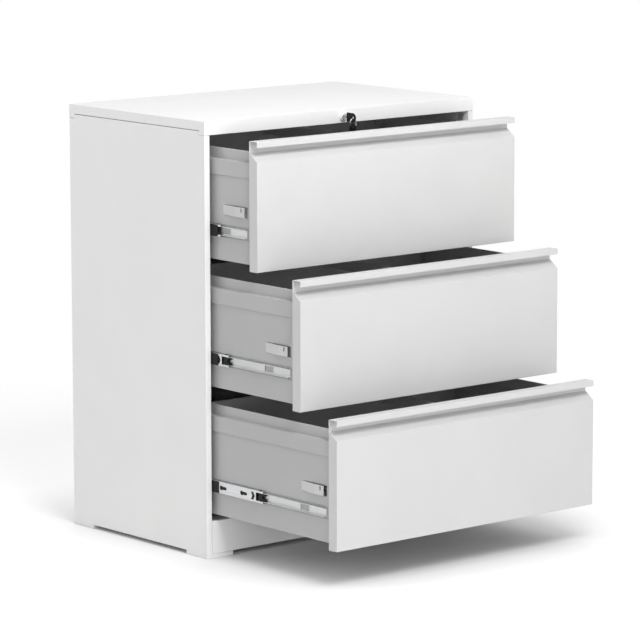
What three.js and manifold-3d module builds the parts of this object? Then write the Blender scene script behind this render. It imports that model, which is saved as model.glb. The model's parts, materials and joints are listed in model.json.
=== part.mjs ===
// Lateral filing cabinet: a folded steel case, three drawers on telescopic slides and a central lock.
// Millimetres, +Z up, the drawers open towards -Y and +X is to the right of someone facing them.
// The origin lies on the floor under the middle of the cabinet as it stands, drawers open.

import * as THREE from 'three';
import { mergeVertices } from 'three/addons/utils/BufferGeometryUtils.js';
import Module from 'manifold-3d';

const wasm = await Module();
wasm.setup();

// Case
const caseWidth = 830;
const caseDepth = 518;
const caseSheet = 1;
const caseBend = 2;
const footHeight = 10;
const footSide = 78;
const footChamfer = 1.5;
const kickHeight = 78;
const kickReturn = 16;
const kickInset = 0.4;
const stileWidth = 15.7;
const stileReturn = 18;
const rearFlange = 20;
const panelTopFlange = 10;
const panelBottomFlange = 40;
const backRibOffset = 190;
const backRibWidth = 40;
const backRibDepth = 3;
const bottomLip = 15;

// Top cap
const railHeight = 32;
const railReturn = 18;
const capSkirt = 21.7;
const capCornerLength = 20;
const capHem = 9;
const seamGap = 0.6;

// Frames that carry the slides
const uprightWidth = 32;
const uprightSheet = 1.2;
const uprightLead = 2;
const tieHeight = 30;
const tieOffset = 40;

// Drawer fronts
const drawerCount = 3;
const frontHeight = 298.2;
const frontGap = 1.8;
const frontSideGap = 2.5;
const frontDepth = 28;
const faceHeight = 251.5;
const bevelRise = 19;
const lipHeight = 13.5;
const drawerSheet = 0.8;
const drawerBend = 1.4;

// Drawer bodies, heights above the lower edge of the front
const bodyBottom = 13.5;
const bandBottom = 210.7;
const ledgeHeight = 247;
const sideTop = 272;
const bandStep = 3;
const ledgeWidth = 12;
const hemWidth = 3;
const hemHeight = 8;
const sideBottomFlange = 14;
const wallFlange = 12;
const drawerRearRoom = 40;
const fileBayWidth = 392;
const fileRailHeight = 26;

// Catch tongue pressed out of each drawer side, lengths behind the drawer's face
const tongueFront = 51;
const tongueBend = 84;
const tongueRear = 133;
const tongueRoot = 3;
const tongueBottom = 120;
const tongueHeight = 23;
const tongueRise = 5;
const tongueSlotFront = 61;
const tongueSlotWidth = 4;
const windowFront = 45;
const windowMargin = 1;

// Telescopic slides
const slideSpace = 12.7;
const slideHeight = 82.5;
const slideSetback = 46;
const slideRearRoom = 32;
const slideSheet = 1.2;
const slideBend = 1.6;
const channelHeight = 26;
const channelDepth = 1.5;
const outerHeight = 36;
const outerLipClear = 3.2;
const middleHeight = 28.4;
const middleStart = 2.1;
const middleLipClear = 4.3;
const middleShortfall = 15;
const innerHeight = 20.8;
const innerStart = 4.4;
const memberGap = 0.5;
const middleOverlap = 211;
const innerOverlap = 225;

// How far each slide stands out, top drawer first, as a share of its own travel
const middleShare = [0.3485, 0.467, 1];
const innerShare = [0.4073, 0.985, 1];

// Lock
const lockDrop = 17.5;
const lockBodyRadius = 8;
const lockBodyLength = 18;
const lockNoseRadius = 9;
const lockNoseLength = 9;
const plugRadius = 5.5;
const plugInset = 0.6;
const tenonRadius = 3;
const tenonLength = 3;
const camArm = 10;
const camRim = 3.5;
const camThickness = 2.4;
const camPinRadius = 2;
const linkThickness = 2;
const linkWall = 3;
const linkAir = 1;
const barThickness = 3;
const barWidth = 11;
const barSetIn = 0.7;
const barPinInset = 24;
const barPinRadius = 1.5;
const barArmHeight = 8;
const barTail = 16;
const catchPinRadius = 2.5;
const catchPinClear = 1.5;
const catchLift = 3;
const pinPlay = 0.6;

// Key, ring and spare key
const bladeThickness = 2;
const bladeHeight = 8;
const bladeReach = 10;
const bowNear = 16;
const bowLength = 31;
const bowHeight = 22;
const bowThickness = 3.4;
const bowHoleRadius = 3.2;
const bowHoleFromEnd = 9;
const ringRadius = 9;
const ringWire = 0.9;

// Running gap between pieces that seat on each other
const fitGap = 0.3;
const cutOver = 1;

// Derived places
const slideLength = caseDepth - slideSetback - slideRearRoom;
const middleLength = slideLength - middleShortfall;
const middleTravel = slideLength - middleOverlap;
const innerTravel = slideLength - innerOverlap;
const middleOut = middleShare.map((share) => share * middleTravel);
const drawerOut = innerShare.map((share, n) => share * innerTravel + middleOut[n]);
const frontY = (Math.max(...drawerOut) - caseDepth) / 2;

const halfCase = caseWidth / 2;
const kickTop = footHeight + kickHeight;
const railBottom = kickTop + frontGap + drawerCount * (frontHeight + frontGap);
const caseTop = railBottom + railHeight;
const panelTop = caseTop - capSkirt - seamGap;
const cornerTop = railBottom - seamGap;
const frameFace = halfCase - stileWidth;
const frontBottom = (n) => kickTop + frontGap + (drawerCount - 1 - n) * (frontHeight + frontGap);

const frontHalf = frameFace - frontSideGap;
const recessX = frameFace - slideSpace;
const wallX = recessX + channelDepth;
const outerDepth = slideSpace - outerLipClear;
const middleDepth = slideSpace - middleLipClear;
const innerDepth = slideSpace - fitGap - innerStart;
const bandX = wallX + bandStep;
const upperX = bandX - ledgeWidth;
const bodyFront = frontDepth + fitGap;
const bodyRear = caseDepth - drawerRearRoom;
const innerWallX = recessX - drawerSheet - fitGap;
const innerUpperX = upperX - hemWidth - fitGap;
const shoulderHeight = ledgeHeight - drawerSheet - fitGap;
const floorZ = bodyBottom + drawerSheet + fitGap;
const endWallBottom = floorZ + drawerSheet + fitGap;
const fileRailX = fileBayWidth - upperX + hemWidth;

const lockZ = caseTop - lockDrop;
const lockTravel = camArm * Math.SQRT2;
const camY = lockBodyLength + plugInset + fitGap;
const linkY = camY + camThickness + linkAir;
const barRearY = slideSetback - uprightLead - fitGap;
const barFrontY = barRearY - barWidth;
const barX = frameFace + barSetIn;
const barPinX = -(frameFace - barPinInset);
const bowHoleY = -(bowNear + bowLength - bowHoleFromEnd);

// Finishes
const finishes = {
  powderCoat: { color: 0xf1f1ef, roughness: 0.5, metalness: 0 },
  greyCoat: { color: 0xcacaca, roughness: 0.5, metalness: 0 },
  whitePlastic: { color: 0xeeeeec, roughness: 0.45, metalness: 0 },
  zinc: { color: 0xc4c8cc, roughness: 0.35, metalness: 0.9 },
  chrome: { color: 0xd9dcdf, roughness: 0.12, metalness: 1 },
  blackPlastic: { color: 0x161617, roughness: 0.45, metalness: 0 },
};

// Closed geometry to a solid that can be cut and joined
function toSolid(geometry) {
  geometry.deleteAttribute('normal');
  geometry.deleteAttribute('uv');
  const merged = mergeVertices(geometry, 1e-4);
  const mesh = new wasm.Mesh({
    numProp: 3,
    vertProperties: new Float32Array(merged.attributes.position.array),
    triVerts: new Uint32Array(merged.index.array),
  });
  return new wasm.Manifold(mesh);
}

function toGeometry(solid) {
  const mesh = solid.getMesh();
  const geometry = new THREE.BufferGeometry();
  geometry.setAttribute('position', new THREE.BufferAttribute(mesh.vertProperties, 3));
  geometry.setIndex(new THREE.BufferAttribute(mesh.triVerts, 1));
  geometry.computeVertexNormals();
  return geometry;
}

function place(group, name, solid, finish) {
  const mesh = new THREE.Mesh(toGeometry(solid), new THREE.MeshStandardMaterial(finishes[finish]));
  mesh.name = name;
  group.add(mesh);
  return mesh;
}

const unite = (first, ...others) => others.reduce((whole, other) => whole.add(other), first);

// Box between two limits on each axis, given in any order
function block(xs, ys, zs) {
  const spans = [xs, ys, zs].map(([a, b]) => [Math.min(a, b), Math.max(a, b)]);
  const geometry = new THREE.BoxGeometry(...spans.map(([low, high]) => high - low));
  geometry.translate(...spans.map(([low, high]) => (low + high) / 2));
  return toSolid(geometry);
}

// Round bar along Y
function rod(radius, x, z, [from, to], sides = 24) {
  const geometry = new THREE.CylinderGeometry(radius, radius, to - from, sides);
  geometry.translate(x, (from + to) / 2, z);
  return toSolid(geometry);
}

// Round bar along X
function crossRod(radius, y, z, [from, to], sides = 16) {
  const geometry = new THREE.CylinderGeometry(radius, radius, Math.abs(to - from), sides);
  geometry.rotateZ(Math.PI / 2);
  geometry.translate((from + to) / 2, y, z);
  return toSolid(geometry);
}

const polygon = (points) => new THREE.Shape(points.map(([u, v]) => new THREE.Vector2(u, v)));

// Straight bar of a section: along Z the section lies in (x, y), along Y in (x, z), along X in (y, z)
function bar(shape, axis, [from, to]) {
  const geometry = new THREE.ExtrudeGeometry(shape, { depth: to - from, bevelEnabled: false });
  const [X, Y, Z] = [new THREE.Vector3(1, 0, 0), new THREE.Vector3(0, 1, 0), new THREE.Vector3(0, 0, 1)];
  const turn = new THREE.Matrix4();
  if (axis === 'x') turn.makeBasis(Y, Z, X);
  if (axis === 'y') turn.makeBasis(X, Z, Y.negate());
  geometry.translate(0, 0, axis === 'y' ? -to : from);
  geometry.applyMatrix4(turn);
  return toSolid(geometry);
}

// Replaces each inner corner of a path by a bend, tighter where the sheet's hidden face is outside it
function bendCorners(path, thickness, radius) {
  const bent = [path[0]];
  for (let i = 1; i < path.length - 1; i++) {
    const corner = new THREE.Vector2(...path[i]);
    const into = corner.clone().sub(new THREE.Vector2(...path[i - 1])).normalize();
    const out = new THREE.Vector2(...path[i + 1]).sub(corner).normalize();
    const turn = Math.atan2(into.cross(out), into.dot(out));
    const bend = turn > 0 ? radius : radius - thickness;
    const reach = bend * Math.tan(Math.abs(turn) / 2);
    const start = corner.clone().addScaledVector(into, -reach);
    const side = new THREE.Vector2(-into.y, into.x).multiplyScalar(Math.sign(turn));
    const centre = start.clone().addScaledVector(side, bend);
    const bendSteps = 2;
    for (let k = 0; k <= bendSteps; k++) {
      const point = start.clone().rotateAround(centre, (turn * k) / bendSteps);
      bent.push([point.x, point.y]);
    }
  }
  bent.push(path[path.length - 1]);
  return bent;
}

// Section of a folded sheet: the path is its visible face, and the thickness lies on the path's left
function foldedSheet(path, thickness, radius) {
  const face = bendCorners(path, thickness, radius);
  const normals = face.slice(1).map(([x, y], i) => {
    const along = new THREE.Vector2(x - face[i][0], y - face[i][1]).normalize();
    return new THREE.Vector2(-along.y, along.x);
  });
  const hidden = face.map(([x, y], i) => {
    const before = normals[Math.max(i - 1, 0)];
    const after = normals[Math.min(i, normals.length - 1)];
    const mitre = before.clone().add(after).multiplyScalar(thickness / (1 + before.dot(after)));
    return [x + mitre.x, y + mitre.y];
  });
  return [...face, ...hidden.reverse()];
}

const mirrored = (points, side) => points.map(([u, v]) => [side * u, v]);
const sides = [['left', -1], ['right', 1]];

// Case pieces, in a frame whose Y starts at the cabinet's front plane
const cabinet = new THREE.Group();
const caseGroup = new THREE.Group();
caseGroup.position.y = frontY;
cabinet.add(caseGroup);

function makeTopPanel() {
  const shell = block([-halfCase, halfCase], [0, caseDepth], [railBottom, caseTop]);
  const hollow = block(
    [-halfCase + caseSheet, halfCase - caseSheet],
    [caseSheet, caseDepth - caseSheet],
    [railBottom - cutOver, caseTop - caseSheet],
  );
  let cap = shell.subtract(hollow);
  const sideRun = [capCornerLength, caseDepth - capCornerLength];
  for (const [, side] of sides) {
    const edge = side * halfCase;
    const notch = [side * (halfCase - capHem), edge + side * cutOver];
    cap = cap.subtract(block(notch, sideRun, [railBottom - cutOver, caseTop - capSkirt]));
    const hemTop = caseTop - capSkirt + caseSheet;
    cap = cap.add(block([side * (halfCase - capHem), edge], sideRun, [caseTop - capSkirt, hemTop]));
  }
  cap = cap.add(block([-halfCase, halfCase], [0, railReturn], [railBottom, railBottom + caseSheet]));
  return cap.subtract(rod(lockBodyRadius + fitGap, 0, lockZ, [-cutOver, caseSheet + cutOver], 32));
}

function makeSidePanel(side) {
  const stileX = halfCase - stileWidth;
  const plan = foldedSheet([
    [stileX, stileReturn],
    [stileX, 0],
    [halfCase, 0],
    [halfCase, caseDepth],
    [halfCase - rearFlange, caseDepth],
  ], caseSheet, caseBend);
  const wall = bar(polygon(mirrored(plan, side)), 'z', [footHeight, panelTop]);
  const wide = [side * (halfCase - rearFlange - cutOver), side * (halfCase + cutOver)];
  const high = [cornerTop, panelTop + cutOver];
  const cornerEnd = capCornerLength + seamGap;
  const notched = wall
    .subtract(block(wide, [-cutOver, cornerEnd], high))
    .subtract(block(wide, [caseDepth - cornerEnd, caseDepth + cutOver], high));
  const midSheet = side * (halfCase - caseSheet / 2);
  const topFlange = block(
    [side * (halfCase - panelTopFlange), midSheet],
    [cornerEnd, caseDepth - cornerEnd],
    [panelTop - caseSheet, panelTop],
  );
  const bottomFlange = block(
    [side * (halfCase - panelBottomFlange), midSheet],
    [kickReturn + caseSheet, caseDepth - caseSheet / 2],
    [footHeight, footHeight + caseSheet],
  );
  return unite(notched, topFlange, bottomFlange);
}

function makeBackPanel() {
  const reach = halfCase - caseBend - fitGap;
  const rear = caseDepth - caseSheet - fitGap;
  const path = [[reach, rear]];
  for (const centre of [backRibOffset, -backRibOffset]) {
    const slope = backRibDepth;
    path.push([centre + backRibWidth / 2, rear]);
    path.push([centre + backRibWidth / 2 - slope, rear - backRibDepth]);
    path.push([centre - backRibWidth / 2 + slope, rear - backRibDepth]);
    path.push([centre - backRibWidth / 2, rear]);
  }
  path.push([-reach, rear]);
  const plan = foldedSheet(path, caseSheet, caseBend);
  return bar(polygon(plan), 'z', [footHeight + caseSheet + fitGap, caseTop - capSkirt]);
}

function makeBottomPanel() {
  const reach = frameFace - fitGap;
  const level = kickTop - caseSheet - fitGap;
  const section = foldedSheet([
    [reach, level - bottomLip],
    [reach, level],
    [-reach, level],
    [-reach, level - bottomLip],
  ], caseSheet, caseBend);
  const front = kickInset + caseBend + fitGap;
  const rear = caseDepth - 2 * caseSheet - backRibDepth - 2 * fitGap;
  return bar(polygon(section), 'y', [front, rear]);
}

function makeKickPlate() {
  const section = foldedSheet([
    [kickReturn, kickTop],
    [kickInset, kickTop],
    [kickInset, footHeight],
    [kickReturn, footHeight],
  ], caseSheet, caseBend);
  return bar(polygon(section), 'x', [fitGap - frameFace, frameFace - fitGap]);
}

function makeSlideFrame(side) {
  const outside = halfCase - caseSheet - fitGap;
  const low = footHeight + caseSheet + fitGap;
  const high = panelTop - caseSheet - fitGap;
  const frontEdge = slideSetback - uprightLead;
  const rearEdge = slideSetback + slideLength;
  const uprights = [frontEdge, rearEdge - uprightWidth].map((start) => {
    const plan = foldedSheet([
      [outside, start + uprightWidth],
      [frameFace, start + uprightWidth],
      [frameFace, start],
      [outside, start],
    ], uprightSheet, caseBend);
    return bar(polygon(mirrored(plan, side)), 'z', [low, high]);
  });
  const ties = [low + tieOffset, high - tieOffset - tieHeight].map((start) => block(
    [side * (outside - uprightSheet), side * outside],
    [frontEdge, rearEdge],
    [start, start + tieHeight],
  ));
  return unite(...uprights, ...ties);
}

function makeFoot(side, start) {
  const centre = [side * (halfCase - footSide / 2), start + footSide / 2];
  const rim = footSide / 2;
  const sole = rim - footChamfer;
  const section = polygon([
    [centre[0] - sole, 0],
    [centre[0] + sole, 0],
    [centre[0] + rim, footChamfer],
    [centre[0] + rim, footHeight],
    [centre[0] - rim, footHeight],
    [centre[0] - rim, footChamfer],
  ]);
  return bar(section, 'y', [start, start + footSide]);
}

place(caseGroup, 'top_panel', makeTopPanel(), 'powderCoat');
place(caseGroup, 'back_panel', makeBackPanel(), 'powderCoat');
place(caseGroup, 'bottom_panel', makeBottomPanel(), 'powderCoat');
place(caseGroup, 'kick_plate', makeKickPlate(), 'powderCoat');
for (const [name, side] of sides) {
  place(caseGroup, `${name}_side_panel`, makeSidePanel(side), 'powderCoat');
  place(caseGroup, `${name}_slide_frame`, makeSlideFrame(side), 'powderCoat');
  place(caseGroup, `front_${name}_foot`, makeFoot(side, 0), 'whitePlastic');
  place(caseGroup, `rear_${name}_foot`, makeFoot(side, caseDepth - footSide), 'whitePlastic');
}

// Slide sections: u runs inward from the frame's face, v up from the slide's centre line
function slideSection(path, side, centreZ) {
  const outline = foldedSheet(path, slideSheet, slideBend);
  return polygon(outline.map(([u, v]) => [side * (frameFace - u), centreZ + v]));
}

function lippedChannel(start, depth, height, lipGap) {
  const end = start + depth;
  const half = height / 2;
  return [[end, lipGap], [end, half], [start, half], [start, -half], [end, -half], [end, -lipGap]];
}

function makeOuterMember(side, centreZ) {
  const path = lippedChannel(fitGap, outerDepth, outerHeight, middleHeight / 2 + memberGap);
  return bar(slideSection(path, side, centreZ), 'y', [slideSetback, slideSetback + slideLength]);
}

function makeMiddleMember(side) {
  const path = lippedChannel(middleStart, middleDepth, middleHeight, innerHeight / 2 + memberGap);
  return bar(slideSection(path, side, slideHeight), 'y', [slideSetback, slideSetback + middleLength]);
}

function makeInnerMember(side) {
  const web = slideSpace - fitGap;
  const half = innerHeight / 2;
  const path = [[web - innerDepth, -half], [web, -half], [web, half], [web - innerDepth, half]];
  return bar(slideSection(path, side, slideHeight), 'y', [slideSetback, slideSetback + slideLength]);
}

// Drawer pieces, in a frame that starts at the lower edge of the drawer's face
function makeDrawerFront() {
  const wall = frontDepth - drawerSheet;
  const bevelTop = faceHeight + bevelRise;
  const section = foldedSheet([
    [drawerSheet, frontHeight - lipHeight],
    [drawerSheet, frontHeight - drawerSheet],
    [wall, frontHeight - drawerSheet],
    [wall, bevelTop],
    [0, faceHeight],
    [0, 0],
    [frontDepth, 0],
  ], drawerSheet, drawerBend);
  const skin = bar(polygon(section), 'x', [-frontHalf, frontHalf]);
  const endOutline = polygon([
    [0, 0],
    [frontDepth, 0],
    [frontDepth, bevelTop],
    [wall, bevelTop],
    [0, faceHeight],
  ]);
  const ends = sides.map(([, side]) => {
    const span = [side * frontHalf, side * (frontHalf - drawerSheet)].sort((a, b) => a - b);
    return bar(endOutline, 'x', span);
  });
  return unite(skin, ...ends);
}

// End wall of a drawer: stepped in at the top where the sides step in, with flanges along the sides
function makeEndWall(face, towards) {
  const outline = polygon([
    [-innerWallX, endWallBottom],
    [innerWallX, endWallBottom],
    [innerWallX, shoulderHeight],
    [innerUpperX, shoulderHeight],
    [innerUpperX, sideTop],
    [-innerUpperX, sideTop],
    [-innerUpperX, shoulderHeight],
    [-innerWallX, shoulderHeight],
  ]);
  const span = [face, face + towards * drawerSheet].sort((a, b) => a - b);
  const flanges = sides.map(([, side]) => block(
    [side * innerWallX, side * (innerWallX - drawerSheet)],
    [face, face + towards * wallFlange],
    [endWallBottom, shoulderHeight],
  ));
  return unite(bar(outline, 'y', span), ...flanges);
}

function makeDrawerSide(side) {
  const channelLow = slideHeight - channelHeight / 2;
  const channelHigh = slideHeight + channelHeight / 2;
  const section = foldedSheet([
    [wallX - sideBottomFlange, bodyBottom],
    [wallX, bodyBottom],
    [wallX, channelLow - channelDepth],
    [recessX, channelLow],
    [recessX, channelHigh],
    [wallX, channelHigh + channelDepth],
    [wallX, bandBottom],
    [bandX, bandBottom],
    [bandX, ledgeHeight],
    [upperX, ledgeHeight],
    [upperX, sideTop],
    [upperX - hemWidth, sideTop],
    [upperX - hemWidth, sideTop - hemHeight],
  ], drawerSheet, drawerBend);
  const wall = bar(polygon(mirrored(section, side)), 'y', [bodyFront, bodyRear]);
  const tongueTop = tongueBottom + tongueHeight;
  const window = block(
    [side * (wallX - drawerSheet - cutOver), side * (wallX + cutOver)],
    [windowFront, tongueRear - tongueRoot],
    [tongueBottom - windowMargin, tongueTop + windowMargin],
  );
  const tonguePlan = foldedSheet([
    [wallX + tongueRise, tongueFront],
    [wallX + tongueRise, tongueBend],
    [wallX, tongueRear],
    [wallX, tongueRear + tongueRoot],
  ], drawerSheet, drawerBend);
  const tongue = bar(polygon(mirrored(tonguePlan, side)), 'z', [tongueBottom, tongueTop]);
  const slot = block(
    [side * wallX, side * (wallX + tongueRise + cutOver)],
    [tongueSlotFront, tongueSlotFront + tongueSlotWidth],
    [tongueBottom + tongueHeight / 2, tongueTop - windowMargin * 2],
  );
  return wall.subtract(window).add(tongue.subtract(slot));
}

function makeDrawerBottom() {
  const reach = wallX - drawerSheet - fitGap;
  return block([-reach, reach], [bodyFront + fitGap, bodyRear], [floorZ, floorZ + drawerSheet]);
}

function makeFileRail() {
  const left = fileRailX - hemWidth / 2;
  const right = fileRailX + hemWidth / 2;
  const section = foldedSheet([
    [right, sideTop - fileRailHeight],
    [right, sideTop],
    [left, sideTop],
    [left, sideTop - fileRailHeight],
  ], drawerSheet, drawerBend);
  const front = bodyFront + drawerSheet + fitGap;
  return bar(polygon(section), 'y', [front, bodyRear - drawerSheet - fitGap]);
}

for (let n = 0; n < drawerCount; n++) {
  const label = `drawer_${n + 1}`;
  for (const [name, side] of sides) {
    const outer = makeOuterMember(side, frontBottom(n) + slideHeight);
    place(caseGroup, `${label}_${name}_slide_outer`, outer, 'zinc');
  }
  const carriage = new THREE.Group();
  carriage.position.set(0, frontY - middleOut[n], frontBottom(n));
  cabinet.add(carriage);
  const drawer = new THREE.Group();
  drawer.position.set(0, frontY - drawerOut[n], frontBottom(n));
  cabinet.add(drawer);
  place(drawer, `${label}_front`, makeDrawerFront(), 'powderCoat');
  place(drawer, `${label}_front_liner`, makeEndWall(bodyFront, 1), 'greyCoat');
  place(drawer, `${label}_back`, makeEndWall(bodyRear, -1), 'greyCoat');
  place(drawer, `${label}_bottom`, makeDrawerBottom(), 'greyCoat');
  place(drawer, `${label}_file_rail`, makeFileRail(), 'greyCoat');
  for (const [name, side] of sides) {
    place(carriage, `${label}_${name}_slide_middle`, makeMiddleMember(side), 'zinc');
    place(drawer, `${label}_${name}_slide_inner`, makeInnerMember(side), 'zinc');
    place(drawer, `${label}_${name}_side`, makeDrawerSide(side), 'greyCoat');
  }
}

// Lock pieces, in the case's frame with the lock turned to open
function makeLockBarrel() {
  const nose = rod(lockNoseRadius, 0, lockZ, [-lockNoseLength - fitGap, -fitGap], 32);
  const body = rod(lockBodyRadius, 0, lockZ, [-lockNoseLength, lockBodyLength], 32);
  const bore = rod(plugRadius + fitGap, 0, lockZ, [-lockNoseLength - cutOver, lockBodyLength + cutOver], 32);
  return nose.add(body).subtract(bore);
}

function makeLockPlug() {
  const rear = lockBodyLength + plugInset;
  const core = rod(plugRadius, 0, lockZ, [plugInset - lockNoseLength, rear]);
  const tenon = rod(tenonRadius, 0, lockZ, [0, rear + tenonLength]);
  const keyway = block(
    [-bladeThickness / 2 - fitGap, bladeThickness / 2 + fitGap],
    [-lockNoseLength - cutOver, bladeReach + fitGap],
    [lockZ - bladeHeight / 2 - fitGap, lockZ + bladeHeight / 2 + fitGap],
  );
  return core.add(tenon).subtract(keyway);
}

const camPinX = -lockTravel / 2;
const camPinLow = lockZ + lockTravel / 2;

function makeLockCam() {
  const disc = rod(camArm + camRim, 0, lockZ, [camY, camY + camThickness], 32);
  const hole = rod(tenonRadius + fitGap, 0, lockZ, [camY - cutOver, camY + camThickness + cutOver]);
  const pin = rod(camPinRadius, camPinX, camPinLow, [camY, linkY + linkThickness + linkAir], 16);
  return disc.subtract(hole).add(pin);
}

// Slot with round ends between two points of the (x, z) plane
function slotCut([x0, z0], [x1, z1], radius, span) {
  const heading = Math.atan2(z1 - z0, x1 - x0);
  const shape = new THREE.Shape();
  shape.absarc(x1, z1, radius, heading - Math.PI / 2, heading + Math.PI / 2);
  shape.absarc(x0, z0, radius, heading + Math.PI / 2, heading + (3 * Math.PI) / 2);
  return bar(shape, 'y', span);
}

function makeLockLink() {
  const span = [linkY, linkY + linkThickness];
  const through = [linkY - cutOver, linkY + linkThickness + cutOver];
  const camSlot = camPinRadius + pinPlay;
  const barSlot = barPinRadius + pinPlay;
  const camHigh = lockZ + camArm;
  const top = camHigh + camSlot + linkWall;
  const low = camPinLow - camSlot - linkWall;
  const leftEnd = barPinX - lockTravel - barSlot - linkWall;
  const plateEnd = barPinX + barSlot + linkWall;
  const plateLow = camHigh - lockTravel - barSlot - linkWall;
  const strip = block([leftEnd, camPinX + camSlot + linkWall], span, [low, top]);
  const plate = block([leftEnd, plateEnd], span, [plateLow, top]);
  return strip
    .add(plate)
    .subtract(slotCut([camPinX, camPinLow], [camPinX, camHigh], camSlot, through))
    .subtract(slotCut([barPinX, camHigh], [barPinX - lockTravel, camHigh - lockTravel], barSlot, through));
}

function makeLockBar() {
  const across = [barFrontY, barRearY];
  const armZ = lockZ + camArm;
  const armSpan = [armZ - barArmHeight / 2, armZ + barArmHeight / 2];
  const lockedHeight = tongueBottom + tongueHeight / 2 + catchLift;
  const catchHeights = [...Array(drawerCount).keys()].map((n) => frontBottom(n) + lockedHeight + lockTravel);
  const low = Math.min(...catchHeights) - barTail;
  const strip = block([-barX, -barX - barThickness], across, [low, armSpan[1]]);
  const armTip = barPinX + barPinRadius + linkWall;
  const arm = block([-barX - barThickness, armTip], [barFrontY, barFrontY + barThickness], armSpan);
  const pin = rod(barPinRadius, barPinX, armZ, [linkY - linkAir, barFrontY + barThickness / 2], 16);
  const catchY = barRearY - catchPinRadius - fitGap;
  const reach = [-barX - barThickness / 2, -wallX - catchPinClear];
  const pins = catchHeights.map((z) => crossRod(catchPinRadius, catchY, z, reach));
  return unite(strip, arm, pin, ...pins);
}

place(caseGroup, 'lock_barrel', makeLockBarrel(), 'chrome');
place(caseGroup, 'lock_plug', makeLockPlug(), 'chrome');
place(caseGroup, 'lock_cam', makeLockCam(), 'zinc');
place(caseGroup, 'lock_link', makeLockLink(), 'zinc');
place(caseGroup, 'lock_bar', makeLockBar(), 'zinc');

// Key whose hole is at the origin and whose blade points along +Y
function makeKey() {
  const half = bowHeight / 2;
  const farEnd = -bowHoleFromEnd;
  const nearEnd = bowLength - bowHoleFromEnd;
  const outline = new THREE.Shape();
  outline.moveTo(nearEnd, -half);
  outline.lineTo(nearEnd, half);
  outline.absarc(farEnd + half, 0, half, Math.PI / 2, (3 * Math.PI) / 2);
  const hole = new THREE.Path();
  hole.absarc(0, 0, bowHoleRadius, 0, 2 * Math.PI);
  outline.holes.push(hole);
  const bow = bar(outline, 'x', [-bowThickness / 2, bowThickness / 2]);
  const blade = block(
    [-bladeThickness / 2, bladeThickness / 2],
    [nearEnd - cutOver, nearEnd + bowNear + bladeReach],
    [-bladeHeight / 2, bladeHeight / 2],
  );
  return bow.add(blade);
}

function makeRing() {
  const ring = new THREE.TorusGeometry(ringRadius, ringWire, 8, 28);
  ring.rotateX(Math.PI / 2);
  return toSolid(ring);
}

const ringZ = lockZ - bowHoleRadius + fitGap + ringWire - ringRadius;
const spareHoleZ = ringZ - ringRadius + ringWire + fitGap - bowHoleRadius;
place(caseGroup, 'key', makeKey(), 'blackPlastic').position.set(0, bowHoleY, lockZ);
place(caseGroup, 'key_ring', makeRing(), 'chrome').position.set(0, bowHoleY, ringZ);
const spareKey = place(caseGroup, 'spare_key', makeKey(), 'blackPlastic');
spareKey.position.set(0, bowHoleY, spareHoleZ);
spareKey.rotation.x = -Math.PI / 2;

export default cabinet;
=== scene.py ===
"""Looks of a lateral filing cabinet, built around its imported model.

Metres, +Z up. The drawers open towards -Y, and +X is to the right of someone who faces them.
"""

import json
import math

import bmesh
import bpy
from mathutils import Matrix, Vector

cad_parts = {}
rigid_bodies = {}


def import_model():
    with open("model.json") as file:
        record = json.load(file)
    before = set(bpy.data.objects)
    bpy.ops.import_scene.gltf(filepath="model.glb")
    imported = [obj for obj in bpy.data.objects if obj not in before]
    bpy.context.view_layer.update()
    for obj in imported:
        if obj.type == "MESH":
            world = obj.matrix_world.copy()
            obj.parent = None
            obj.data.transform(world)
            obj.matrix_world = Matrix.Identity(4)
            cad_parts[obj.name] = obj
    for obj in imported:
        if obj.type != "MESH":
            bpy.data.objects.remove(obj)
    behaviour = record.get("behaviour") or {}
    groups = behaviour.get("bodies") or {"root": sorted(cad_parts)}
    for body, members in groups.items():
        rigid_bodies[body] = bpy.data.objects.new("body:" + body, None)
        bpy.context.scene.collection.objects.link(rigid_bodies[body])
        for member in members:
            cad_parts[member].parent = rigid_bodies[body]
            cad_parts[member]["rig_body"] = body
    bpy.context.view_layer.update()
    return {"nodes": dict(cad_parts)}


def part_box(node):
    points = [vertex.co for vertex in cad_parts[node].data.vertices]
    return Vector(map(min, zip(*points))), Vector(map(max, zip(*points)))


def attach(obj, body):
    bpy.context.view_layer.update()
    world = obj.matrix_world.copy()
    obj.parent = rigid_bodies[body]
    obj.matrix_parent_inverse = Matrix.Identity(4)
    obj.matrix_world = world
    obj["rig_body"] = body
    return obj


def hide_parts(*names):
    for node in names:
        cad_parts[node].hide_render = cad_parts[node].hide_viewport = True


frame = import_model()

MM = 0.001
DRAWERS = (1, 2, 3)
SIDES = (("left", -1), ("right", 1))

# Camera, solved from the photograph
camera_azimuth = math.radians(-40.122)
camera_elevation = math.radians(9.222)
camera_roll = math.radians(-0.118)
camera_target = Vector((-39.6, 0, 519.4)) * MM
camera_distance = 9100.6 * MM
camera_lens = 215.83
camera_sensor = 36
camera_far = 100

# Floor and sky
floor_radius = 30
floor_bounce = 0.88
floor_albedo = 0.7
floor_glow = 0.52
floor_shade_reach = 0.4
floor_shade_power = 1.3
white_from = 1.5
white_full = 2.4
sky_level = 0.5

# Noise values that are mapped to the ends of a range of gloss or of tone
gloss_noise = (0.3, 0.7)
tone_noise = (0.35, 0.65)

# Edge radii of sheet metal and moulded pieces
case_edge = 0.35 * MM
drawer_edge = 0.28 * MM
slide_edge = 0.2 * MM
foot_edge = 1.2 * MM
lock_edge = 0.5 * MM
plug_edge = 0.2 * MM
cage_edge = 0.1 * MM
lever_edge = 0.4 * MM
blade_edge = 0.15 * MM
least_rounded_bend = math.radians(25)
flat_face_weight = 90

# Cleaning of the copied meshes
merge_distance = 0.001 * MM
flat_angle = math.radians(0.5)

# Seam between the sides and the cap
seam_band = 4 * MM
seam_opening = 0.9 * MM

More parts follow.
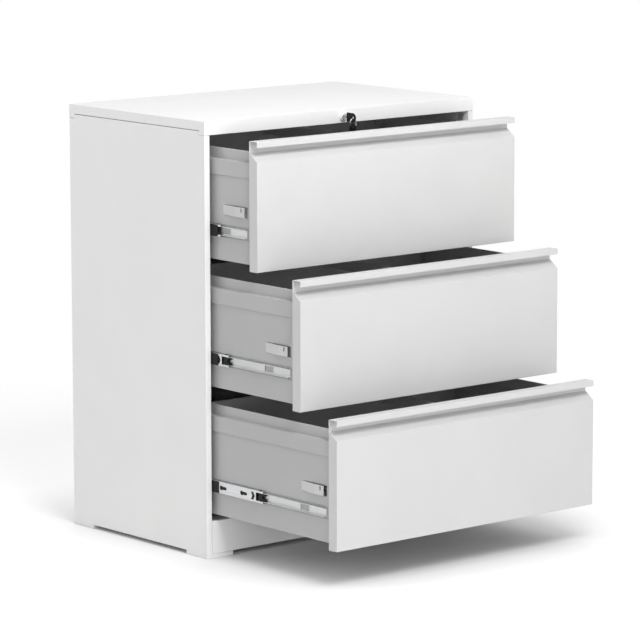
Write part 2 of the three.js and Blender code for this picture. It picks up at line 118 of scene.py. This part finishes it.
# Catch tongue on a drawer's side, above the bottom of the drawer's front, given a lighter coat as a
# painted highlight
tongue_bottom = 120 * MM
tongue_height = 23 * MM
tongue_margin = 0.3 * MM

# Slide members: lengths behind the front end of the member that carries a detail
window_length = 25 * MM
window_height = 19 * MM
chevron_front = 29 * MM
chevron_length = 14 * MM
chevron_arm = 9 * MM
chevron_half = 9 * MM
slot_starts = (57 * MM, 132 * MM)
slot_length = 25 * MM
slot_radius = 3.7 * MM
slot_head_radius = 5.6 * MM
groove_offset = 10.6 * MM
groove_width = 1.3 * MM
groove_depth = 0.6 * MM
inner_web = 1.2 * MM
seam_offset = 7.6 * MM
seam_width = 1.6 * MM
seam_depth = 0.6 * MM
lance_front = 60 * MM
lance_length = 31 * MM
lance_height = 13 * MM
cut_reach = 3 * MM
cut_margin = 2 * MM
cut_over = 1 * MM

# Small pieces of the slides
lever_front = 212 * MM
lever_length = 22 * MM
lever_height = 17.6 * MM
lever_notch = 8 * MM
lever_depth = 4.5 * MM
lever_inset = 0.8 * MM
cage_length = 180 * MM
cage_height = 27 * MM
cage_thickness = 0.45 * MM
cage_reach = 23.5 * MM
cage_inset = 2 * MM
cage_gap = 0.05 * MM
strip_front = 26 * MM
strip_height = 21 * MM
strip_depth = 1.45 * MM
clip_front = 8 * MM
clip_length = 8 * MM
clip_rise = 1.2 * MM
clip_span = (1.5 * MM, 5.2 * MM)
rivet_radius = 3.2 * MM
rivet_rise = 1.3 * MM
rivet_places = (38 * MM, 190 * MM, 390 * MM)
drawer_wall = 0.8 * MM
slide_gap = 0.3 * MM

# Screws in the back
screw_radius = 4 * MM
screw_rise = 1.9 * MM
screw_slot_length = 4.4 * MM
screw_slot_width = 0.9 * MM
screw_slot_floor = 0.7 * MM
screw_inset = 10 * MM
screw_end = 40 * MM
screw_rows = 6
head_fullness = 0.7

# Bow of a key
bow_radius = 11 * MM
bow_hole_radius = 3.2 * MM
bow_to_far_end = 9 * MM
bow_to_near_end = 22 * MM
bow_half_thickness = 1.7 * MM
bow_rim = 1.6 * MM
bow_rim_slope = 0.4 * MM
bow_sink = 0.5 * MM
bow_hole_edge = 0.3 * MM
bow_edge = 0.5 * MM
bow_steps = 64
nearly_zero = 1e-6

# Blade of a key: heights from the blade's middle, and lengths behind its tip
blade_half_height = 4 * MM
blade_half_thickness = 1 * MM
blade_length = 26 * MM
blade_sink = 0.2 * MM
tip_height = 1.2 * MM
tip_slope = 3 * MM
nose_drop = 2.4 * MM
nose_length = 1.5 * MM
first_cut = 4 * MM
cut_pitch = 3.4 * MM
cut_slope = 1.2 * MM
cut_floor = 1 * MM
cut_crest = 3.8 * MM
cut_heights = (2 * MM, 0.8 * MM, 2.4 * MM, 1.4 * MM)
last_cut_end = 18.5 * MM

# Split ring: the wire changes sides over a share of its length
ring_wire = 0.45 * MM
ring_turns = 2
ring_turn_steps = 48
ring_wire_steps = 10
crossing_start = 0.42
crossing_length = 0.16


# Node helpers
def map_range(tree, value, low, high, start=0.0, end=1.0):
    """Node that maps values from start to end onto values from low to high."""
    node = tree.nodes.new("ShaderNodeMapRange")
    node.inputs["From Min"].default_value = start
    node.inputs["From Max"].default_value = end
    node.inputs["To Min"].default_value = low
    node.inputs["To Max"].default_value = high
    tree.links.new(value, node.inputs["Value"])
    return node


def calculate(tree, operation, first, second):
    """Result of a math operation on two sockets."""
    node = tree.nodes.new("ShaderNodeMath")
    node.operation = operation
    tree.links.new(first, node.inputs[0])
    tree.links.new(second, node.inputs[1])
    return node.outputs[0]


# Materials
def new_material(name, color, roughness, metallic=0.0):
    material = bpy.data.materials.new(name)
    material.use_nodes = True
    shader = material.node_tree.nodes["Principled BSDF"]
    shader.inputs["Base Color"].default_value = (*color, 1)
    shader.inputs["Roughness"].default_value = roughness
    shader.inputs["Metallic"].default_value = metallic
    return material.node_tree, shader, material


def add_noise(tree, scale, detail, stretch=(1, 1, 1)):
    """Noise in the piece's own coordinates, which are those of the cabinet at rest."""
    place = tree.nodes.new("ShaderNodeTexCoord")
    mapping = tree.nodes.new("ShaderNodeMapping")
    mapping.inputs["Scale"].default_value = stretch
    noise = tree.nodes.new("ShaderNodeTexNoise")
    noise.inputs["Scale"].default_value = scale
    noise.inputs["Detail"].default_value = detail
    tree.links.new(place.outputs["Object"], mapping.inputs["Vector"])
    tree.links.new(mapping.outputs["Vector"], noise.inputs["Vector"])
    return noise.outputs["Fac"]


def vary_gloss(tree, shader, noise, low, high):
    """Lets the roughness drift between two values."""
    roughness = map_range(tree, noise, low, high, *gloss_noise)
    tree.links.new(roughness.outputs["Result"], shader.inputs["Roughness"])


def vary_tone(tree, shader, noise, dark, light):
    """Lets the colour drift between two tones."""
    ramp = tree.nodes.new("ShaderNodeValToRGB")
    for element, place, tone in zip(ramp.color_ramp.elements, tone_noise, (dark, light)):
        element.position = place
        element.color = (*tone, 1)
    tree.links.new(noise, ramp.inputs["Fac"])
    tree.links.new(ramp.outputs["Color"], shader.inputs["Base Color"])


def bump(tree, shader, height, strength, distance):
    relief = tree.nodes.new("ShaderNodeBump")
    relief.inputs["Strength"].default_value = strength
    relief.inputs["Distance"].default_value = distance
    tree.links.new(height, relief.inputs["Height"])
    tree.links.new(relief.outputs["Normal"], shader.inputs["Normal"])


def powder_coat(name, dark, light):
    """Baked paint: a fine orange-peel skin, with a slight drift in tone and gloss over each panel."""
    tree, shader, material = new_material(name, light, roughness=0.42)
    vary_tone(tree, shader, add_noise(tree, scale=7, detail=3), dark, light)
    vary_gloss(tree, shader, add_noise(tree, scale=60, detail=3), low=0.36, high=0.5)
    bump(tree, shader, add_noise(tree, scale=900, detail=2), strength=0.12, distance=0.2 * MM)
    return material


def drawn_metal(name, dark, light, rough_low, rough_high, grain):
    """Metal with fine lines along the direction it was drawn or brushed in."""
    tree, shader, material = new_material(name, light, rough_low, metallic=1.0)
    lines = add_noise(tree, scale=40, detail=4, stretch=grain)
    vary_tone(tree, shader, add_noise(tree, scale=30, detail=3, stretch=grain), dark, light)
    vary_gloss(tree, shader, lines, rough_low, rough_high)
    bump(tree, shader, lines, strength=0.08, distance=0.1 * MM)
    return material


def moulded_plastic(name, dark, light, rough_low, rough_high, specular):
    """Plastic with the fine spark texture of its mould."""
    tree, shader, material = new_material(name, light, rough_low)
    vary_tone(tree, shader, add_noise(tree, scale=45, detail=3), dark, light)
    vary_gloss(tree, shader, add_noise(tree, scale=220, detail=3), rough_low, rough_high)
    shader.inputs["Specular IOR Level"].default_value = specular
    bump(tree, shader, add_noise(tree, scale=1600, detail=2), strength=0.15, distance=0.2 * MM)
    return material


along_y = (20, 0.4, 20)
all_round = (1, 1, 1)
white_coat = powder_coat("white_powder_coat", (0.855, 0.855, 0.851), (0.871, 0.871, 0.867))
# The drawer fronts are the same white as the case; this darker copy of it is painted shade, where the
# fronts take less light than the case's frame.
painted_shade_front_coat = powder_coat("drawer_front_painted_shade_coat", (0.614, 0.614, 0.612), (0.63, 0.63, 0.628))
# The drawer bodies are white too; this grey copy of the white paint is painted shade, darker than the
# fronts, where the drawer sides and insides take less light.
grey_coat = powder_coat("painted_shade_grey_powder_coat", (0.462, 0.462, 0.464), (0.48, 0.48, 0.482))
zinc = drawn_metal("zinc_plate", (0.56, 0.57, 0.575), (0.66, 0.667, 0.672), 0.32, 0.44, along_y)
galvanised = drawn_metal(
    "galvanised_sheet", (0.53, 0.536, 0.54), (0.62, 0.626, 0.63), 0.36, 0.48, along_y
)
chrome = drawn_metal("polished_chrome", (0.8, 0.81, 0.82), (0.9, 0.9, 0.91), 0.06, 0.14, all_round)
nickel = drawn_metal("nickel_blade", (0.58, 0.57, 0.54), (0.74, 0.73, 0.7), 0.2, 0.34, along_y)
white_plastic = moulded_plastic(
    "white_plastic", (0.82, 0.82, 0.815), (0.86, 0.86, 0.855), 0.36, 0.5, specular=0.5
)
black_plastic = moulded_plastic(
    "black_plastic", (0.006, 0.006, 0.0065), (0.014, 0.014, 0.0145), 0.4, 0.56, specular=0.2
)


# Pieces
def new_object(name, mesh_data, material):
    mesh = bpy.data.meshes.new(name)
    bmesh.ops.recalc_face_normals(mesh_data, faces=mesh_data.faces)
    mesh_data.to_mesh(mesh)
    mesh_data.free()
    mesh.materials.append(material)
    mesh.shade_smooth()
    piece = bpy.data.objects.new(name, mesh)
    bpy.context.scene.collection.objects.link(piece)
    return piece


def keep_faces_flat(piece):
    """Lets the large faces decide the shading at their edges."""
    normals = piece.modifiers.new("flat_faces", "WEIGHTED_NORMAL")
    normals.weight = flat_face_weight


def round_edges(piece, width, segments=2):
    bevel = piece.modifiers.new("edge_radius", "BEVEL")
    bevel.width = width
    bevel.segments = segments
    bevel.limit_method = "ANGLE"
    bevel.angle_limit = least_rounded_bend
    keep_faces_flat(piece)
    return piece


def settle(piece, body, slot, *nodes):
    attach(piece, body)
    if nodes:
        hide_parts(*nodes)
    return piece


def copy_of(node, material):
    """Clean copy of a CAD node's mesh, with its flat faces merged."""
    mesh_data = bmesh.new()
    mesh_data.from_mesh(frame["nodes"][node].data)
    bmesh.ops.remove_doubles(mesh_data, verts=mesh_data.verts, dist=merge_distance)
    bmesh.ops.dissolve_limit(
        mesh_data, angle_limit=flat_angle, verts=mesh_data.verts, edges=mesh_data.edges
    )
    return new_object(node + "_finished", mesh_data, material)


def body_of(node):
    return frame["nodes"][node]["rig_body"]


def finish_node(node, material, slot, edge, segments=2):
    """Shows a CAD node with rounded edges and its own finish."""
    piece = copy_of(node, material)
    round_edges(piece, edge, segments)
    return settle(piece, body_of(node), slot, node)


def cut(piece, cutter_data):
    """Takes the cutter's shapes out of a piece's mesh."""
    cutter = new_object("cutter", cutter_data, white_coat)
    boolean = piece.modifiers.new("cut", "BOOLEAN")
    boolean.operation = "DIFFERENCE"
    boolean.solver = "EXACT"
    boolean.object = cutter
    evaluated = piece.evaluated_get(bpy.context.evaluated_depsgraph_get())
    whole = piece.data
    piece.data = bpy.data.meshes.new_from_object(evaluated)
    piece.data.name = piece.name
    piece.modifiers.clear()
    bpy.data.meshes.remove(whole)
    bpy.data.meshes.remove(cutter.data)
    return piece


# Shapes
def prism(mesh_data, outline, x_from, x_to):
    """Adds a bar along X with an outline of (y, z) points."""
    near = [mesh_data.verts.new((x_from, y, z)) for y, z in outline]
    far = [mesh_data.verts.new((x_to, y, z)) for y, z in outline]
    mesh_data.faces.new(near)
    mesh_data.faces.new(far[::-1])
    for i in range(len(outline)):
        j = (i + 1) % len(outline)
        mesh_data.faces.new((near[i], far[i], far[j], near[j]))


def join_loops(mesh_data, loops):
    """Adds a band of faces between each loop of points and the next."""
    for lower, upper in zip(loops, loops[1:]):
        for i in range(len(lower)):
            j = (i + 1) % len(lower)
            mesh_data.faces.new((lower[i], lower[j], upper[j], upper[i]))


def close_ends(mesh_data, loops):
    mesh_data.faces.new(loops[0][::-1])
    mesh_data.faces.new(loops[-1])


def dome(mesh_data, centre, axis, radius, rise, rings=4, steps=20):
    """Adds a closed round head that stands on a face."""
    turn = Vector((0, 0, 1)).rotation_difference(Vector(axis)).to_matrix()
    loops = []
    for k in range(rings):
        angle = math.pi / 2 * k / rings
        r = radius * math.cos(angle) ** head_fullness
        height = rise * math.sin(angle)
        loop = []
        for s in range(steps):
            a = 2 * math.pi * s / steps
            local = Vector((r * math.cos(a), r * math.sin(a), height))
            loop.append(mesh_data.verts.new(Vector(centre) + turn @ local))
        loops.append(loop)
    join_loops(mesh_data, loops)
    close_ends(mesh_data, loops)


def rectangle(y_from, y_to, z_middle, height):
    low, high = z_middle - height / 2, z_middle + height / 2
    return [(y_from, low), (y_to, low), (y_to, high), (y_from, high)]


def arc(centre, radius, start, end, steps):
    """Points of an arc in (y, z), with angles in degrees."""
    angles = [math.radians(start + (end - start) * k / steps) for k in range(steps + 1)]
    return [(centre[0] + radius * math.cos(a), centre[1] + radius * math.sin(a)) for a in angles]


def keyhole(y_from, y_to, z, radius, head_radius):
    """Slot with a round end towards -Y and a larger round head towards +Y."""
    meet = math.degrees(math.asin(radius / head_radius))
    tail = arc((y_from + radius, z), radius, 90, 270, steps=10)
    return tail + arc((y_to - head_radius, z), head_radius, meet - 180, 180 - meet, steps=20)


def chevron(front, z):
    """Arrow that points towards -Y, with a notch in its back."""
    tip, back = front + chevron_length - chevron_arm, front + chevron_length
    edge = [(tip, chevron_half), (front, 0), (tip, -chevron_half)]
    notch = [(back, -chevron_half), (front + chevron_arm, 0), (back, chevron_half)]
    return [(y, z + height) for y, height in edge + notch]


# Case
def make_side_panel(node):
    """Side of the case, with its upper edge lowered to open the seam under the cap."""
    piece = copy_of(node, white_coat)
    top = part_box(node)[1].z
    for vertex in piece.data.vertices:
        if vertex.co.z > top - seam_band:
            vertex.co.z -= seam_opening
    round_edges(piece, case_edge)
    settle(piece, body_of(node), "powder_coat", node)


def make_case():
    for side, _ in SIDES:
        make_side_panel(side + "_side_panel")
    panels = ["top_panel", "back_panel", "bottom_panel", "kick_plate"]
    panels += [side + "_slide_frame" for side, _ in SIDES]
    for node in panels:
        finish_node(node, white_coat, "powder_coat", case_edge)
    for end in ("front", "rear"):
        for side, _ in SIDES:
            finish_node(f"{end}_{side}_foot", white_plastic, "white_plastic", foot_edge, segments=3)


# Drawers
def make_drawer_side(n, node):
    """Side wall in grey, which is painted shade on white paint; its catch tongue takes the lighter
    coat of the drawer fronts as a painted highlight.
    """
    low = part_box(f"drawer_{n}_front")[0].z + tongue_bottom
    piece = copy_of(node, grey_coat)
    piece.data.materials.append(painted_shade_front_coat)
    # Faces of the tongue get the lighter coat: a painted highlight on the greyer side.
    for face in piece.data.polygons:
        heights = [piece.data.vertices[v].co.z - low for v in face.vertices]
        if min(heights) > -tongue_margin and max(heights) < tongue_height + tongue_margin:
            face.material_index = 1
    round_edges(piece, drawer_edge)
    settle(piece, body_of(node), "grey_coat", node)


def make_drawers():
    for n in DRAWERS:
        # Fronts in the darker copy of the white paint: painted shade.
        finish_node(f"drawer_{n}_front", painted_shade_front_coat, "powder_coat", drawer_edge, segments=3)
        # Liner, back, bottom and file rail in the grey copy of the white paint: painted shade.
        for part in ("front_liner", "back", "bottom", "file_rail"):
            finish_node(f"drawer_{n}_{part}", grey_coat, "grey_coat", drawer_edge)
        for side, _ in SIDES:
            make_drawer_side(n, f"drawer_{n}_{side}_side")


# Slides
def member_frame(node, side):
    """Front end, height of the centre line, and the faces away from and towards the drawer."""
    low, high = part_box(node)
    away, towards = (low.x, high.x) if side < 0 else (high.x, low.x)
    return low.y, (low.z + high.z) / 2, away, towards


def make_middle_member(n, name, side):
    """Middle member with its window, arrow, screw slots and two long grooves."""
    node = f"drawer_{n}_{name}_slide_middle"
    front, z, away, _ = member_frame(node, side)
    piece = copy_of(node, zinc)
    holes = bmesh.new()
    through = (away + side * cut_margin, away - side * cut_reach)
    prism(holes, rectangle(front - cut_over, front + window_length, z, window_height), *through)
    prism(holes, chevron(front + chevron_front, z), *through)
    for start in slot_starts:
        slot = keyhole(front + start, front + start + slot_length, z, slot_radius, slot_head_radius)
        prism(holes, slot, *through)
    cut(piece, holes)
    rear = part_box(node)[1].y
    grooves = bmesh.new()
    for offset in (-groove_offset, groove_offset):
        line = rectangle(front - cut_over, rear + cut_over, z + offset, groove_width)
        prism(grooves, line, away + side * cut_over, away - side * groove_depth)
    cut(piece, grooves)
    round_edges(piece, slide_edge)
    settle(piece, f"carriage_{n}", "zinc", node)


def make_cages(n, name, side):
    """Ball cages on both faces of the middle member's web, and the stop clip on its front end."""
    node = f"drawer_{n}_{name}_slide_middle"
    front, z, away, _ = member_frame(node, side)
    cage = bmesh.new()
    case_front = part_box("left_side_panel")[0].y
    start = max(case_front - cage_reach, front + cage_inset)
    outer_strip = rectangle(start, start + cage_length, z, cage_height)
    outside = away + side * cage_gap
    prism(cage, outer_strip, outside, outside + side * cage_thickness)
    inner_strip = rectangle(front + strip_front, front + cage_length, z, strip_height)
    inside = away - side * strip_depth
    prism(cage, inner_strip, inside, inside - side * cage_thickness)
    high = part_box(node)[1].z
    clip_start = front + clip_front
    clip = rectangle(clip_start, clip_start + clip_length, high + clip_rise / 2, clip_rise)
    prism(cage, clip, away - side * clip_span[0], away - side * clip_span[1])
    piece = round_edges(new_object(f"drawer_{n}_{name}_ball_cages", cage, black_plastic), cage_edge)
    settle(piece, f"carriage_{n}", "black_plastic")


def make_inner_member(n, name, side):
    """Inner member with its lanced window and the seam along its web."""
    node = f"drawer_{n}_{name}_slide_inner"
    front, z, _, towards = member_frame(node, side)
    piece = copy_of(node, galvanised)
    hole = bmesh.new()
    lance = rectangle(front + lance_front, front + lance_front + lance_length, z, lance_height)
    prism(hole, lance, towards + side * cut_reach, towards - side * cut_margin)
    cut(piece, hole)
    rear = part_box(node)[1].y
    web = towards + side * inner_web
    seam = bmesh.new()
    line = rectangle(front - cut_over, rear + cut_over, z - seam_offset, seam_width)
    prism(seam, line, web + side * cut_over, web - side * seam_depth)
    cut(piece, seam)
    round_edges(piece, slide_edge)
    settle(piece, f"drawer_{n}", "zinc", node)


def make_lever(n, name, side):
    """Release lever in the inner member: a block with two prongs."""
    node = f"drawer_{n}_{name}_slide_inner"
    front, z, away, _ = member_frame(node, side)
    start = front + lever_front
    rear = start + lever_length
    half = lever_height / 2
    notch = half / 3
    outline = [(rear, z - half), (rear, z + half), (start, z + half), (start, z + notch)]
    outline += [(start + lever_notch, z + notch), (start + lever_notch, z - notch)]
    outline += [(start, z - notch), (start, z - half)]
    lever = bmesh.new()
    near = away - side * lever_inset
    prism(lever, outline, near, near - side * lever_depth)
    piece = new_object(f"drawer_{n}_{name}_release_lever", lever, black_plastic)
    round_edges(piece, lever_edge)
    settle(piece, f"drawer_{n}", "black_plastic")


def make_rivets(n, name, side):
    """Rivets that hold the inner slide member, seen inside the drawer."""
    front, z, _, towards = member_frame(f"drawer_{n}_{name}_slide_inner", side)
    face = towards - side * (slide_gap + drawer_wall)
    heads = bmesh.new()
    for place in rivet_places:
        dome(heads, (face, front + place, z), (-side, 0, 0), rivet_radius, rivet_rise)
    piece = new_object(f"drawer_{n}_{name}_rivets", heads, zinc)
    settle(piece, f"drawer_{n}", "zinc")


def make_slides():
    for n in DRAWERS:
        for name, side in SIDES:
            finish_node(f"drawer_{n}_{name}_slide_outer", zinc, "zinc", slide_edge)
            make_middle_member(n, name, side)
            make_cages(n, name, side)
            make_inner_member(n, name, side)
            make_lever(n, name, side)
            make_rivets(n, name, side)


# Screws in the rear flanges
def add_screw(heads, place):
    """Pan head with a crossed recess, standing on a face that looks towards +Y."""
    head = bmesh.new()
    dome(head, place, (0, 1, 0), screw_radius, screw_rise, rings=5, steps=24)
    piece = new_object("screw", head, zinc)
    x, y, z = place
    arms = ((screw_slot_length, screw_slot_width), (screw_slot_width, screw_slot_length))
    for width, height in arms:
        recess = bmesh.new()
        outline = rectangle(y + screw_slot_floor, y + 2 * screw_rise, z, height)
        prism(recess, outline, x - width / 2, x + width / 2)
        cut(piece, recess)
    heads.from_mesh(piece.data)
    bpy.data.meshes.remove(piece.data)


def make_screws():
    low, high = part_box("back_panel")
    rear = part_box("left_side_panel")[1].y
    first = low.z + screw_end
    span = high.z - low.z - 2 * screw_end
    for name, side in SIDES:
        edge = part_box(f"{name}_side_panel")[0 if side < 0 else 1].x
        heads = bmesh.new()
        for row in range(screw_rows):
            z = first + span * row / (screw_rows - 1)
            add_screw(heads, (edge - side * screw_inset, rear, z))
        piece = new_object(f"{name}_rear_screws", heads, zinc)
        settle(piece, "cabinet", "zinc")


# Lock and keys
def make_lock():
    finish_node("lock_barrel", chrome, "chrome", lock_edge, segments=3)
    finish_node("lock_plug", chrome, "chrome", plug_edge)
    for node in ("lock_cam", "lock_link", "lock_bar"):
        finish_node(node, zinc, "zinc", slide_edge)


def bow_reach(angle):
    """Distance from the key's hole to the outline of its D-shaped bow."""
    y, z = math.cos(angle), math.sin(angle)
    centre = bow_radius - bow_to_far_end
    along = y * centre
    far = along + math.sqrt(along * along - centre * centre + bow_radius * bow_radius)
    if far * y <= centre:
        return far
    reaches = [bow_radius / abs(z)] if abs(z) > nearly_zero else []
    if y > nearly_zero:
        reaches.append(bow_to_near_end / y)
    return min(reaches)


def bow_section(angle):
    """Points across one face of the bow, from the hole out: distance from its centre, and height."""
    top = bow_half_thickness
    slope_end = bow_rim + bow_rim_slope
    hole_rim = [(0, top - bow_hole_edge), (bow_hole_edge, top), (bow_rim, top)]
    outer_rim = [(bow_rim, top), (bow_edge, top), (0, top - bow_edge)]
    from_hole = hole_rim + [(slope_end, top - bow_sink)]
    from_outline = [(slope_end, top - bow_sink)] + outer_rim
    reach = bow_reach(angle)
    points = [(bow_hole_radius + offset, height) for offset, height in from_hole]
    return points + [(reach - offset, height) for offset, height in from_outline]


def make_bow(name, body, matrix):
    """Black bow of a key, with a raised rim round its hole and its outline."""
    corner = math.atan2(bow_radius, bow_to_near_end)
    even = {2 * math.pi * k / bow_steps for k in range(bow_steps)}
    angles = sorted(even | {corner, 2 * math.pi - corner})
    sections = [bow_section(a) for a in angles]
    rows = range(len(sections[0]))
    bow = bmesh.new()
    loops = []
    for face in (1, -1):
        for row in rows[::face]:
            loop = []
            for a, section in zip(angles, sections):
                reach, height = section[row]
                point = Vector((face * height, reach * math.cos(a), reach * math.sin(a)))
                loop.append(bow.verts.new(matrix @ point))
            loops.append(loop)
    join_loops(bow, loops + loops[:1])
    piece = new_object(name + "_bow", bow, black_plastic)
    keep_faces_flat(piece)
    settle(piece, body, "black_plastic", name)


def make_blade(name, body, matrix):
    """Bright blade of a key, with a pointed tip and the cuts in its lower edge."""
    start = bow_to_near_end - blade_sink
    end = start + blade_length
    half = blade_half_height
    outline = [(start, -half), (start, half), (end - tip_slope, half)]
    outline += [(end, tip_height), (end - nose_length, -nose_drop)]
    for k, height in enumerate(cut_heights):
        crest = end - first_cut - cut_pitch * k
        foot = crest - cut_slope
        outline += [(crest, -cut_crest), (foot, -height), (foot - cut_floor, -height)]
    outline += [(end - last_cut_end, -half)]
    blade = bmesh.new()
    prism(blade, outline, -blade_half_thickness, blade_half_thickness)
    bmesh.ops.transform(blade, matrix=matrix, verts=blade.verts)
    piece = round_edges(new_object(name + "_blade", blade, nickel), blade_edge)
    settle(piece, body, "zinc")


def make_key(name, body, hole, turn):
    """Key whose blade points along +Y before the turn about its hole."""
    matrix = Matrix.Translation(hole) @ turn.to_4x4()
    make_bow(name, body, matrix)
    make_blade(name, body, matrix)


def make_ring():
    """Split ring: two turns of wire that lie side by side."""
    low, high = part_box("key_ring")
    centre = (low + high) / 2
    radius = (high.z - low.z) / 2 - ring_wire
    steps = ring_turn_steps * ring_turns
    ring = bmesh.new()
    loops = []
    for k in range(steps + 1):
        share = k / steps
        a = 2 * math.pi * ring_turns * share + math.pi / 2
        crossed = min(max((share - crossing_start) / crossing_length, 0), 1)
        out = Vector((math.cos(a), 0, math.sin(a)))
        aside = Vector((0, 1, 0))
        spine = centre + out * radius + aside * ring_wire * (2 * crossed - 1)
        loop = []
        for s in range(ring_wire_steps):
            b = 2 * math.pi * s / ring_wire_steps
            offset = (out * math.cos(b) + aside * math.sin(b)) * ring_wire
            loop.append(ring.verts.new(spine + offset))
        loops.append(loop)
    join_loops(ring, loops)
    close_ends(ring, loops)
    settle(new_object("key_split_ring", ring, chrome), "key_ring", "chrome", "key_ring")


def make_keys():
    plug_low, plug_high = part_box("lock_plug")
    lock_z = (plug_low.z + plug_high.z) / 2
    hole_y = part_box("key")[0].y + bow_to_far_end
    make_key("key", "lock_plug", Vector((0, hole_y, lock_z)), Matrix.Identity(3))
    spare_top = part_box("spare_key")[1].z
    spare_hole = Vector((0, hole_y, spare_top - bow_to_far_end))
    make_key("spare_key", "spare_key", spare_hole, Matrix.Rotation(-math.pi / 2, 3, "X"))
    make_ring()


# Stage
def make_camera():
    a, e, r = camera_azimuth, camera_elevation, camera_roll
    back = Vector((math.sin(a) * math.cos(e), -math.cos(a) * math.cos(e), math.sin(e)))
    level = Vector((math.cos(a), math.sin(a), 0))
    up = back.cross(level)
    right = level * math.cos(r) + up * math.sin(r)
    top = up * math.cos(r) - level * math.sin(r)
    data = bpy.data.cameras.new("camera")
    data.lens = camera_lens
    data.sensor_width = camera_sensor
    data.clip_end = camera_far
    camera = bpy.data.objects.new("camera", data)
    turn = Matrix((right, top, back)).transposed().to_4x4()
    camera.matrix_world = Matrix.Translation(camera_target + back * camera_distance) @ turn
    bpy.context.scene.collection.objects.link(camera)
    bpy.context.scene.camera = camera


def seen_directly(tree):
    """1 for rays from the camera and for those that metal or glass mirrors."""
    path = tree.nodes.new("ShaderNodeLightPath")
    total = path.outputs["Is Camera Ray"]
    for kind in ("Is Glossy Ray", "Is Transmission Ray"):
        total = calculate(tree, "MAXIMUM", total, path.outputs[kind])
    return total


def floor_paint(tree, direct):
    """Paint of the floor, a little paler for the light that it throws back."""
    paint = tree.nodes.new("ShaderNodeBsdfDiffuse")
    tone = map_range(tree, direct, floor_bounce, floor_albedo)
    tree.links.new(tone.outputs["Result"], paint.inputs["Color"])
    return paint.outputs["BSDF"]


def floor_light(tree, direct):
    """Glow that lifts the open floor to white and fades under and beside the cabinet, painted shade
    added to the cabinet's cast shadow on the floor.
    """
    openness = tree.nodes.new("ShaderNodeAmbientOcclusion")
    openness.inputs["Distance"].default_value = floor_shade_reach
    faded = tree.nodes.new("ShaderNodeMath")
    faded.operation = "POWER"
    faded.inputs[1].default_value = floor_shade_power
    tree.links.new(openness.outputs["AO"], faded.inputs[0])
    level = map_range(tree, faded.outputs[0], 0, floor_glow)
    glow = tree.nodes.new("ShaderNodeEmission")
    strength = calculate(tree, "MULTIPLY", direct, level.outputs["Result"])
    tree.links.new(strength, glow.inputs["Strength"])
    return glow.outputs["Emission"]


def white_share(tree, direct):
    """Share of plain white in the floor, which grows with the distance from the cabinet."""
    place = tree.nodes.new("ShaderNodeTexCoord")
    distance = tree.nodes.new("ShaderNodeVectorMath")
    distance.operation = "LENGTH"
    tree.links.new(place.outputs["Object"], distance.inputs[0])
    fade = map_range(tree, distance.outputs["Value"], 0, 1, white_from, white_full)
    fade.interpolation_type = "SMOOTHSTEP"
    return calculate(tree, "MULTIPLY", fade.outputs["Result"], direct)


def make_floor():
    material = bpy.data.materials.new("pale_floor")
    material.use_nodes = True
    tree = material.node_tree
    tree.nodes.clear()
    direct = seen_directly(tree)
    lit = tree.nodes.new("ShaderNodeAddShader")
    tree.links.new(floor_paint(tree, direct), lit.inputs[0])
    tree.links.new(floor_light(tree, direct), lit.inputs[1])
    white = tree.nodes.new("ShaderNodeEmission")
    blend = tree.nodes.new("ShaderNodeMixShader")
    tree.links.new(white_share(tree, direct), blend.inputs["Fac"])
    tree.links.new(lit.outputs["Shader"], blend.inputs[1])
    tree.links.new(white.outputs["Emission"], blend.inputs[2])
    output = tree.nodes.new("ShaderNodeOutputMaterial")
    tree.links.new(blend.outputs["Shader"], output.inputs["Surface"])
    mesh_data = bmesh.new()
    bmesh.ops.create_circle(mesh_data, cap_ends=True, segments=96, radius=floor_radius)
    floor = new_object("floor", mesh_data, material)


def make_sky():
    world = bpy.data.worlds.new("studio")
    world.use_nodes = True
    tree = world.node_tree
    background = tree.nodes["Background"]
    background.inputs["Color"].default_value = (1, 1, 1, 1)
    strength = map_range(tree, seen_directly(tree), sky_level, 1)
    tree.links.new(strength.outputs["Result"], background.inputs["Strength"])
    bpy.context.scene.world = world


def make_lamp(name, place, aim, size, power):
    data = bpy.data.lights.new(name, "AREA")
    data.shape = "RECTANGLE"
    data.size, data.size_y = size
    data.energy = power
    lamp = bpy.data.objects.new(name, data)
    lamp.location = place
    lamp.visible_camera = False
    lamp.rotation_mode = "QUATERNION"
    lamp.rotation_quaternion = (Vector(aim) - Vector(place)).to_track_quat("-Z", "Y")
    bpy.context.scene.collection.objects.link(lamp)


def make_lamps():
    make_lamp("key_softbox", place=(-0.9, -2.6, 3.2), aim=(-0.1, -0.1, 0.6), size=(1.8, 1.4), power=78)
    make_lamp("overhead_softbox", place=(0, 0.1, 3.2), aim=(0, 0.1, 0), size=(1.2, 1), power=6)
    make_lamp("front_softbox", place=(-1, -5, 0.5), aim=(0, -0.2, 0.4), size=(1.6, 0.8), power=40)
    make_lamp("rail_strip", place=(-0.1, -0.6, 1.45), aim=(0, -0.04, 1), size=(1, 0.12), power=1.1)
    make_lamp("side_softbox", place=(-1.7, 0.9, 1.3), aim=(-0.4, 0.2, 0.5), size=(0.8, 1.2), power=4.2)


bpy.context.scene.view_settings.view_transform = "Standard"
make_camera()
make_case()
make_drawers()
make_slides()
make_screws()
make_lock()
make_keys()
make_floor()
make_sky()
make_lamps()
